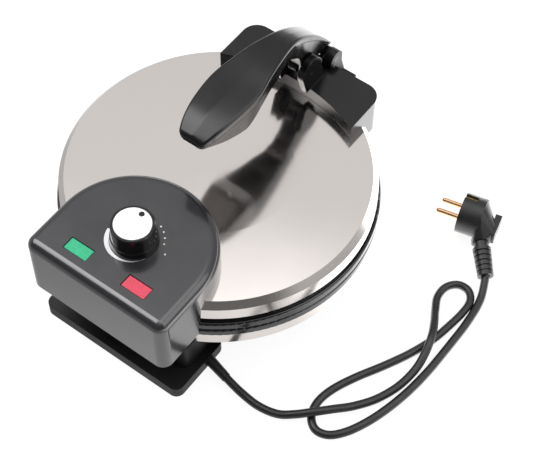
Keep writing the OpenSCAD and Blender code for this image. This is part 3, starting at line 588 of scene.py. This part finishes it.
class Palette:
    """Every finish on the appliance, made once."""

    def __init__(self) -> None:
        """Makes all the materials."""
        # Black mouldings: the wings mirror the lid, the lever's skin has no edges of its own to round, and the
        # box's clear lacquer gives its dark grey a second, sharper shine
        self.gloss_black = MouldedPlastic("gloss_black_abs", "#0c0c0e", 0.2, edge_mm=0.8, shine=0.4).make()
        self.lever_black = MouldedPlastic("lever_black_abs", "#0d0d10", 0.24, edge_mm=0.0, shine=0.4).make()
        self.box_grey = MouldedPlastic("control_housing_abs", "#232327", 0.2, edge_mm=0.0, lacquer=0.7).make()
        self.knob_black = MouldedPlastic("knob_black_abs", "#0a0a0c", 0.12, edge_mm=0.3).make()
        # Feet and sole: a blunt grey sheen instead of a reflection. Rings: sharp dark bands round the steel
        self.satin_black = MouldedPlastic("satin_black_abs", "#0b0b0d", 0.5, grain_mm=0.9, shine=0.3).make()
        self.ring_black = MouldedPlastic("ring_black_phenolic", "#0a0a0c", 0.16, edge_mm=0.5).make()
        # Lid and pan: a warm light steel that shows the lever's shape on it, drawn out by the turning
        self.steel = BrushedSheet("satin_stainless_sheet", "#dcd6d2", 0.11).make()
        # Inside, seen with the lid open: a pebbled dark coating, heat-dulled sheaths, pale trays and felt
        self.coating = SprayedCoating("sprayed_non_stick", "#3a3b3e", 0.4).make()
        self.sheath = TurnedMetal("heater_sheath_steel", "#6f6c69", 0.42).make()
        self.tray = BrushedSheet("aluminised_tray_sheet", "#c6c5c2", 0.3, contrast=0.1).make()
        self.felt = PressedFelt("mineral_felt_board", "#d3cdb8", 0.95).make()
        self.white = MouldedPlastic("white_nylon", "#d9d7cf", 0.5, edge_mm=0.3).make()
        self.ceramic = MouldedPlastic("thermostat_steatite", "#c4beaf", 0.6, edge_mm=0.3).make()
        # Feet: the dullest black, with hardly a highlight
        self.foot_rubber = SoftRubber("foot_rubber", "#1a1a1a", 0.7).make()
        # Fixings: bluish zinc glints and darker pins. The core's near-black colour is painted shade, so that it
        # stays in the lever's shade
        self.zinc = TurnedMetal("zinc_plated_screw", "#b4b5b8", 0.3).make()
        self.pin_steel = TurnedMetal("blackened_pin_steel", "#2a2a2c", 0.35).make()
        self.core_painted_shade = TurnedMetal("painted_shade_steel_core", "#1b1b1c", 0.5).make()
        self.brass = TurnedMetal("spindle_brass", "#c8a86a", 0.3).make()
        # Dial: two deep wet colours, an even pale cap that hardly clouds, and marks that glint like foil
        self.green = LampLens("green_lamp_acrylic", "#2fc48e", 0.1).make()
        self.red = LampLens("red_lamp_acrylic", "#e8415c", 0.1).make()
        self.cap_silver = TurnedMetal("satin_silver_cap", "#e6e4e2", 0.34, dulling=0.15).make()
        self.ink = TurnedMetal("silver_ink", "#c4c4c6", 0.42).make()
        # Lead and plug: a soft black with one broad highlight along it, and coppery pins
        self.lead = SoftRubber("lead_pvc", "#131315", 0.42).make()
        self.prong = TurnedMetal("plug_pin_brass", "#c09a78", 0.26).make()


# Sub-assemblies


@dataclass
class RoundBody:
    """Steel pan and lid shell, black rings, plates, heaters and what lies behind them."""

    nodes: dict[str, bpy.types.Object]
    palette: Palette

    def dress(self) -> None:
        """Gives each carried-over solid its finish."""
        look = {
            "lid_shell": self.palette.steel,
            "base_pan": self.palette.steel,
            "lid_ring": self.palette.ring_black,
            "base_ring": self.palette.ring_black,
            "bottom_housing": self.palette.satin_black,
            "front_sole": self.palette.satin_black,
            "rear_stand": self.palette.satin_black,
            "rubber_feet": self.palette.foot_rubber,
            "upper_plate": self.palette.coating,
            "lower_plate": self.palette.coating,
            "upper_element": self.palette.sheath,
            "lower_element": self.palette.sheath,
            "upper_reflector": self.palette.tray,
            "lower_reflector": self.palette.tray,
            "upper_insulation": self.palette.felt,
            "lower_insulation": self.palette.felt,
            "terminal_block": self.palette.white,
            "base_screws": self.palette.zinc,
            "hinge_pin": self.palette.pin_steel,
        }
        dress_nodes(self.nodes, look)


@dataclass
class ControlBox:
    """Control housing with its cover, lamps, thermostat, knob and printed dial."""

    nodes: dict[str, bpy.types.Object]
    palette: Palette

    def dress(self) -> None:
        """Gives each carried-over solid its finish."""
        look = {
            "control_housing": self.palette.box_grey,
            "control_cover": self.palette.satin_black,
            "green_lens": self.palette.green,
            "red_lens": self.palette.red,
            "lamp_bodies": self.palette.white,
            "thermostat": self.palette.ceramic,
            "control_screws": self.palette.zinc,
            "knob_body": self.palette.knob_black,
            "knob_cap": self.palette.cap_silver,
            "knob_pointer": self.palette.knob_black,
            "knob_spindle": self.palette.brass,
            "dial_marks": self.palette.ink,
        }
        dress_nodes(self.nodes, look)


@dataclass
class HingeBracket:
    """Wings, cheeks and knuckles on the lid, with their screws and the lever's pin."""

    nodes: dict[str, bpy.types.Object]
    palette: Palette

    def dress(self) -> None:
        """Gives each carried-over solid its finish."""
        look = {
            "hinge_bracket": self.palette.gloss_black,
            "bracket_screws": self.palette.zinc,
            "lever_pin": self.palette.pin_steel,
        }
        dress_nodes(self.nodes, look)


@dataclass
class PressLever:
    """The long curved lever over the lid, in millimetres.

    Each table gives one size along the arm: Y from the lever's pin, then the height of the top's edges, the half
    width, the height of the underside, or the rise of the top's middle over its edges.
    """

    nodes: dict[str, bpy.types.Object]
    palette: Palette
    pin: tuple[float, float] = (112.0, 136.0)
    tops: list[tuple[float, float]] = field(default_factory=lambda: [
        (-147, 42), (-137, 47.6), (-120, 51), (-104, 52), (-78, 53), (-57, 55), (-45, 54.5), (-34, 53),
        (-22, 51), (-10, 46), (3, 38), (17, 26), (29, 12.5), (36, 3), (40, -3.5)])
    widths: list[tuple[float, float]] = field(default_factory=lambda: [
        (-147, 12), (-137, 16.5), (-120, 20.5), (-104, 22.5), (-90, 23.5), (-78, 22.5), (-68, 20), (-57, 18),
        (-45, 16), (-34, 13.6), (-22, 11.6), (-10, 10.2), (3, 9.6), (17, 9.2), (40, 8.8)])
    lows: list[tuple[float, float]] = field(default_factory=lambda: [
        (-147, 35.5), (-137, 33.5), (-124, 29), (-110, 25.3), (-99, 23), (-92, 26), (-80, 32), (-67, 33), (-54, 34),
        (-45, 33.5), (-38, 34), (-30, 35), (-22, 29.5), (-17, 25.5), (-6, 17.5), (-5.5, -6), (0, -10), (6, -9.5),
        (13, -5), (33, -5.5), (40, -8)])
    ridges: list[tuple[float, float]] = field(default_factory=lambda: [
        (-147, 1), (-110, 1), (-90, 0.5), (-60, 0.3), (40, 0.3)])
    # Smoothing of the tables: the underside keeps its step at the hub
    width_spread: float = 5.0
    top_spread: float = 6.0
    low_spread: float = 1.6
    # Ends of the skin, and the radius of its nose with the share of its inset that top and underside take
    front: float = -147.0
    back: float = 39.9
    nose: float = 4.0
    nose_top: float = 0.7
    nose_low: float = 0.5
    # Radii of the top's and the underside's edges, and how far the sides draw in below
    crease: float = 2.4
    under: float = 1.6
    draft: float = 1.4
    # Groove between the two shells: its depth below the top, and its size
    split: float = 7.0
    groove: float = 0.4
    # Between the cheeks, behind the first place, the underside is no wider than this
    cheeks_from: float = -24.0
    cheeks_half: float = 9.3
    # Rings of points, and how many of them round the nose
    rings: int = 150
    nose_rings: int = 9

    def section(
        self, half: np.ndarray, low_half: np.ndarray, top: np.ndarray, low: np.ndarray, ridge: np.ndarray
    ) -> np.ndarray:
        """Closed outline of the lever at many places at once.

        The top runs from crease to crease at height top + ridge (1 - |s|), s from -1 to 1. Quarter circles turn
        it down into straight sides, which draw in from half to low_half past a small groove where the two shells
        meet, and smaller quarter circles turn them under. Where the lever is thin, the circles and the groove's
        depth are a share of its thickness.

        Args:
            half: half widths at the crease.
            low_half: half widths at the underside.
            top: heights of the crease.
            low: heights of the underside.
            ridge: rise of the middle over the crease.

        Returns:
            Points as places by outline by X and Z.
        """
        tall = top - low
        c = np.minimum(self.crease, 0.3 * tall)[:, None]
        b = np.minimum(self.under, 0.15 * tall)[:, None]
        split = np.minimum(self.split, 0.6 * tall)[:, None]
        half, low_half, top, low, ridge = (v[:, None] for v in (half, low_half, top, low, ridge))
        s = np.linspace(-1, 1, 25)[None, :]
        turn = np.linspace(0, math.pi / 2, 9)[None, 1:]
        under = np.linspace(0, math.pi / 2, 5)[None, :]
        g = self.groove
        depth = np.concatenate([split - g, split - 0.2 * g, split + 0.2 * g, split + g], 1)
        lower = split + g + np.linspace(0.15, 1, 6)[None, :] * (top - low - b - split - g)
        depth = np.concatenate([depth, lower], 1)
        notch = np.array([0.0, g, g, 0.0] + [0.0] * 6)[None, :]
        x_side = half + (low_half - half) * (depth - c) / (top - low - b - c) - notch
        right_x = np.concatenate(
            [half - c + c * np.sin(turn), x_side, low_half - b + b * np.cos(under), (low_half - b) * [[0.6, 0.2]]], 1
        )
        right_z = np.concatenate(
            [top - c + c * np.cos(turn), top - depth, low + b - b * np.sin(under), low * [[1, 1]]], 1
        )
        xs = np.concatenate([s * (half - c), right_x, -right_x[:, ::-1]], 1)
        zs = np.concatenate([top + ridge * (1 - np.abs(s)), right_z, right_z[:, ::-1]], 1)
        return np.stack([xs, zs], -1)

    def build(self) -> bpy.types.Object:
        """Builds the lever's smooth skin and lets it stand for the two shells.

        Its nose is rounded: within a radius r of the front, at distance d from it, the outline is drawn in by
        r - sqrt(r^2 - (r - d)^2).

        Returns:
            The skin.
        """
        round_nose = np.linspace(0, math.pi / 2, self.nose_rings + 1)[:-1]
        nose_y = self.front + self.nose * (1 - np.cos(round_nose))
        arm_y = np.linspace(self.front + self.nose, self.back, self.rings - self.nose_rings)
        y = np.concatenate([nose_y, arm_y])
        half = smooth_table(self.widths, y, self.width_spread)
        top = smooth_table(self.tops, y, self.top_spread)
        low = smooth_table(self.lows, y, self.low_spread)
        ridge = smooth_table(self.ridges, y, self.top_spread)
        low_half = half - self.draft
        low_half = np.where(y > self.cheeks_from, np.minimum(low_half, self.cheeks_half), low_half)
        near = np.clip(self.nose - (y - self.front), 0, self.nose)
        inset = self.nose - np.sqrt(self.nose**2 - near**2)
        half, low_half = half - inset, low_half - inset
        top, low = top - self.nose_top * inset, low + self.nose_low * inset
        outline = self.section(half, low_half, top, low, ridge)
        ys = np.broadcast_to(y[:, None], outline.shape[:2])
        points = np.stack([outline[..., 0], ys + self.pin[0], outline[..., 1] + self.pin[1]], -1) * MM
        faces = tube_faces(self.rings, outline.shape[1])
        skin = mesh_object("lever_skin", points.reshape(-1, 3), faces, sharp_deg=50)
        dress(skin, self.palette.lever_black)
        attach(skin, "lever")
        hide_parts("lever_top_shell", "lever_bottom_shell")
        LOG.info("built the lever skin with %d rings", self.rings)
        return skin

    def dress(self) -> None:
        """Gives the core, the screws and the two shells under the skin their finish."""
        look = {
            # The core's near-black finish is painted shade: it stands in for the lever's shadow over it
            "lever_core": self.palette.core_painted_shade,
            "lever_screws": self.palette.zinc,
            "lever_top_shell": self.palette.lever_black,
            "lever_bottom_shell": self.palette.lever_black,
        }
        dress_nodes(self.nodes, look)


@dataclass
class MainsLead:
    """Power lead on the table with its plug, in millimetres.

    The route repeats the source's: X, Y, and lift over the table in diameters.
    """

    nodes: dict[str, bpy.types.Object]
    palette: Palette
    # The tube is thinner than the lead by the slack, all round, so that it stays within the source's box
    diameter: float = 7.4
    slack: float = 0.03
    table_gap: float = 0.1
    # Where the relief leaves the sole, its length and its direction, and where the lead goes into the plug
    outlet: tuple[float, float, float] = (73.6, -111.0, 7.5)
    relief: float = 22.0
    turn_deg: float = -12.0
    drop_deg: float = 5.0
    end: tuple[float, float, float] = (217.5, 102.0, 7.5)
    # Points round the tube, and rings between two points of the route
    sides: int = 20
    steps: int = 6
    route: list[tuple[float, float, float]] = field(default_factory=lambda: [
        (112, -118.5, 0.05), (132, -120, 0), (150, -117, 0.2), (163, -110, 0.7), (174.5, -100.5, 1.06),
        (186, -87.5, 0.85), (197, -73, 0.3), (208, -55, 0), (216, -34, 0), (219, -13, 0.2), (218, 3, 0.75),
        (214, 19, 1.06), (208, 33, 0.75), (200.5, 47, 0.2), (194, 61, 0), (194.5, 74, 0), (202, 82.5, 0),
        (212.5, 82.5, 0), (219.5, 74, 0), (220.5, 61, 0), (218.5, 43, 0), (214.5, 22, 0), (206.5, -1, 0),
        (195, -25, 0), (182, -49, 0), (173, -70, 0), (170, -87, 0), (173.5, -101, 0), (183, -109, 0),
        (194.5, -107, 0), (204.5, -96.5, 0), (213, -80, 0), (220, -59, 0), (225.5, -33, 0), (228.3, -5, 0),
        (229, 25, 0), (229, 53, 0), (226, 80, 0)])

    def centreline(self) -> np.ndarray:
        """Points along the middle of the lead, from the relief's end to the plug.

        Returns:
            Points in millimetres, one per row.
        """
        turn, drop = math.radians(self.turn_deg), math.radians(self.drop_deg)
        way = np.array([math.cos(turn) * math.cos(drop), math.sin(turn) * math.cos(drop), -math.sin(drop)])
        first = np.array(self.outlet) + self.relief * way
        flat = np.array(self.route, float)
        flat[:, 2] = self.diameter / 2 + self.table_gap + flat[:, 2] * self.diameter
        return through_points(np.vstack([first, flat, self.end]), self.steps)

    def build(self) -> bpy.types.Object:
        """Sweeps a round tube along the centreline.

        Each ring is p + r (cos a side + sin a up), with side = Z x way made unit and up = way x side. Points that
        would lie under the table are raised to it.

        Returns:
            The lead.
        """
        line = self.centreline()
        way = np.gradient(line, axis=0)
        way /= np.linalg.norm(way, axis=1)[:, None]
        side = np.cross([0.0, 0.0, 1.0], way)
        side /= np.linalg.norm(side, axis=1)[:, None]
        up = np.cross(way, side)
        angle = np.linspace(0, 2 * math.pi, self.sides, endpoint=False)
        ring = np.cos(angle)[None, :, None] * side[:, None, :] + np.sin(angle)[None, :, None] * up[:, None, :]
        points = (line[:, None, :] + (self.diameter / 2 - self.slack) * ring) * MM
        points[..., 2] = np.maximum(points[..., 2], 0.0)
        lead = mesh_object("lead_tube", points.reshape(-1, 3), tube_faces(len(line), self.sides), sharp_deg=60)
        dress(lead, self.palette.lead)
        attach(lead, "base")
        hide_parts("power_cord")
        return lead

    def dress(self) -> None:
        """Gives the plug, gland and clamp their finish."""
        look = {
            "power_cord": self.palette.lead,
            "cord_gland": self.palette.lead,
            "cord_clamp": self.palette.lead,
            "plug_body": self.palette.lead,
            "plug_pins": self.palette.prong,
            "plug_earth_clips": self.palette.brass,
        }
        dress_nodes(self.nodes, look)


@dataclass(frozen=True)
class SoftLamp:
    """One square soft lamp: its place and width in metres, and its power in watts."""

    name: str
    at: tuple[float, float, float]
    size: float
    power: float


@dataclass
class Studio:
    """Camera at the photograph's angle, pale floor, soft lamps and a plain bright world."""

    camera_mm: tuple[float, float, float] = (485.46, -589.96, 1128.39)
    azimuth_deg: float = 36.36
    elevation_deg: float = 55.69
    roll_deg: float = 0.41
    focal_px: float = 1500.0
    image_width: int = 533
    sensor_mm: float = 36.0
    # Floor: half its width in metres, its glow, and the glow's share of what is seen of it
    floor_reach: float = 6.0
    floor_glow: float = 1.12
    floor_share: float = 0.8
    # What polished pieces see of the floor, added to its glow, by X + Y in metres
    floor_front: Ramp = Ramp((-0.34, 0.0), (0.45 - 1.12, 0.0))
    floor_behind: Ramp = Ramp((0.08, 0.3), (0.0, 2.6), Ease.SMOOTH)
    # World by the height of the direction: as light, then as polished pieces see it, the walls and the soft box
    sky_light: Ramp = Ramp((-0.2, 1.0), (0.42, 0.8))
    walls: Ramp = Ramp((0.5, 0.78), (0.55, 0.88), Ease.SMOOTH)
    soft_box: Ramp = Ramp((0.82, 0.96), (0.0, 2.0), Ease.SMOOTH)
    # Direction of the dark room behind the camera, and how much it dims what lies towards it
    dark_side: tuple[float, float, float] = (0.1, -0.9, 0.42)
    dimming: Ramp = Ramp((0.25, 0.6), (1.0, 0.3), Ease.SMOOTH)
    # Lamps, and the point that they face
    lamps: tuple[SoftLamp, ...] = (
        SoftLamp("soft_key", (-0.9, -0.3, 1.5), 1.1, 16.0),
        SoftLamp("soft_fill", (1.2, 0.4, 1.2), 1.2, 7.0),
    )
    aim: tuple[float, float, float] = (0.0, 0.0, 0.1)

    def camera(self) -> bpy.types.Object:
        """Places the camera.

        Its axes are right, up and back: back points from the object to the camera, right is level, and both
        right and up are turned by the roll.

        Returns:
            The camera object.
        """
        a, e, roll = (math.radians(v) for v in (self.azimuth_deg, self.elevation_deg, self.roll_deg))
        back = Vector((math.sin(a) * math.cos(e), -math.cos(a) * math.cos(e), math.sin(e)))
        right = Vector((math.cos(a), math.sin(a), 0))
        up = back.cross(right)
        turned = right * math.cos(roll) + up * math.sin(roll)
        upright = up * math.cos(roll) - right * math.sin(roll)
        data = bpy.data.cameras.new("studio_camera")
        data.sensor_fit = "HORIZONTAL"
        data.sensor_width = self.sensor_mm
        data.lens = self.focal_px / self.image_width * self.sensor_mm
        data.clip_start, data.clip_end = 0.05, 20.0
        made = bpy.data.objects.new("studio_camera", data)
        bpy.context.scene.collection.objects.link(made)
        basis = Matrix((turned, upright, back)).transposed().to_4x4()
        basis.translation = Vector(self.camera_mm) * MM
        made.matrix_world = basis
        bpy.context.scene.camera = made
        return made

    def floor(self) -> bpy.types.Object:
        """Lays a pale floor that looks white where nothing shades it.

        What shines mirrors it dimmer in front of the object and far brighter behind its right side, as a lit
        backdrop that curves down to the table does.

        Returns:
            The floor.
        """
        size = self.floor_reach
        corners = np.array([(-size, -size, 0), (size, -size, 0), (size, size, 0), (-size, size, 0)], float)
        plane = mesh_object("studio_floor", corners - [0, 0, 0.0002], [[0, 1, 2, 3]])
        material = bpy.data.materials.new("pale_studio_paper")
        material.use_nodes = True
        tree = material.node_tree
        tree.nodes.clear()
        matt = add_node(tree, "ShaderNodeBsdfDiffuse", {"Color": linear("#f4f4f4")})
        read = add_node(tree, "ShaderNodeTexCoord")
        parts = add_node(tree, "ShaderNodeSeparateXYZ", links={"Vector": read.outputs["Object"]})
        along = work_out(tree, "ADD", parts.outputs["X"], parts.outputs["Y"])
        extra = work_out(tree, "ADD", carry(tree, along, self.floor_front), carry(tree, along, self.floor_behind))
        path = add_node(tree, "ShaderNodeLightPath")
        level = work_out(tree, "MULTIPLY_ADD", extra, path.outputs["Is Glossy Ray"], self.floor_glow)
        glow = add_node(tree, "ShaderNodeEmission", {"Color": WHITE}, {"Strength": level})
        seen = work_out(tree, "MAXIMUM", path.outputs["Is Camera Ray"], path.outputs["Is Glossy Ray"])
        share = work_out(tree, "MULTIPLY", seen, self.floor_share)
        both = add_node(
            tree, "ShaderNodeMixShader", links={0: share, 1: matt.outputs["BSDF"], 2: glow.outputs["Emission"]}
        )
        add_node(tree, "ShaderNodeOutputMaterial", links={"Surface": both.outputs["Shader"]})
        dress(plane, material)
        return plane

    def lamp(self, plan: SoftLamp) -> bpy.types.Object:
        """Hangs one lamp so that it faces the object.

        Args:
            plan: what lamp, and where.

        Returns:
            The lamp.
        """
        data = bpy.data.lights.new(plan.name, "AREA")
        data.shape = "SQUARE"
        data.size = plan.size
        data.energy = plan.power
        made = bpy.data.objects.new(plan.name, data)
        bpy.context.scene.collection.objects.link(made)
        way = Vector(plan.at) - Vector(self.aim)
        made.matrix_world = Matrix.Translation(Vector(plan.at)) @ way.to_track_quat("Z", "Y").to_matrix().to_4x4()
        return made

    def world(self) -> None:
        """Makes the world white to the eye and a soft grey gradient as light.

        What shines mirrors a bright soft box overhead and a dark room behind the camera.
        """
        world = bpy.data.worlds.new("studio_world")
        world.use_nodes = True
        tree = world.node_tree
        tree.nodes.clear()
        read = add_node(tree, "ShaderNodeTexCoord")
        parts = add_node(tree, "ShaderNodeSeparateXYZ", links={"Vector": read.outputs["Generated"]})
        height = parts.outputs["Z"]
        level = carry(tree, height, self.sky_light)
        light = add_node(tree, "ShaderNodeBackground", {"Color": WHITE}, {"Strength": level})
        room = work_out(tree, "ADD", carry(tree, height, self.walls), carry(tree, height, self.soft_box))
        toward = Vector(self.dark_side).normalized()
        facing = add_node(
            tree, "ShaderNodeVectorMath", {"operation": "DOT_PRODUCT", 1: toward}, {0: read.outputs["Generated"]}
        )
        shown = work_out(tree, "MULTIPLY", room, carry(tree, facing.outputs["Value"], self.dimming))
        mirrored = add_node(tree, "ShaderNodeBackground", {"Color": WHITE}, {"Strength": shown})
        white = add_node(tree, "ShaderNodeBackground", {"Color": WHITE, "Strength": 1.0})
        path = add_node(tree, "ShaderNodeLightPath")
        shine = add_node(
            tree,
            "ShaderNodeMixShader",
            links={
                0: path.outputs["Is Glossy Ray"],
                1: light.outputs["Background"],
                2: mirrored.outputs["Background"],
            },
        )
        both = add_node(
            tree,
            "ShaderNodeMixShader",
            links={0: path.outputs["Is Camera Ray"], 1: shine.outputs["Shader"], 2: white.outputs["Background"]},
        )
        add_node(tree, "ShaderNodeOutputWorld", links={"Surface": both.outputs["Shader"]})
        bpy.context.scene.world = world

    def build(self) -> None:
        """Sets up the whole studio."""
        bpy.context.scene.view_settings.view_transform = "Standard"
        self.camera()
        self.floor()
        self.world()
        for plan in self.lamps:
            self.lamp(plan)
        LOG.info("studio ready")


def main() -> None:
    """Builds and dresses every sub-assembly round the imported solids."""
    logging.basicConfig(level=logging.INFO, format="%(name)s: %(message)s")
    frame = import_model()
    Studio().build()
    palette = Palette()
    nodes = frame["nodes"]
    lead = MainsLead(nodes, palette)
    lead.build()
    lead.dress()
    RoundBody(nodes, palette).dress()
    ControlBox(nodes, palette).dress()
    HingeBracket(nodes, palette).dress()
    lever = PressLever(nodes, palette)
    lever.build()
    lever.dress()


if __name__ == "__main__":
    main()
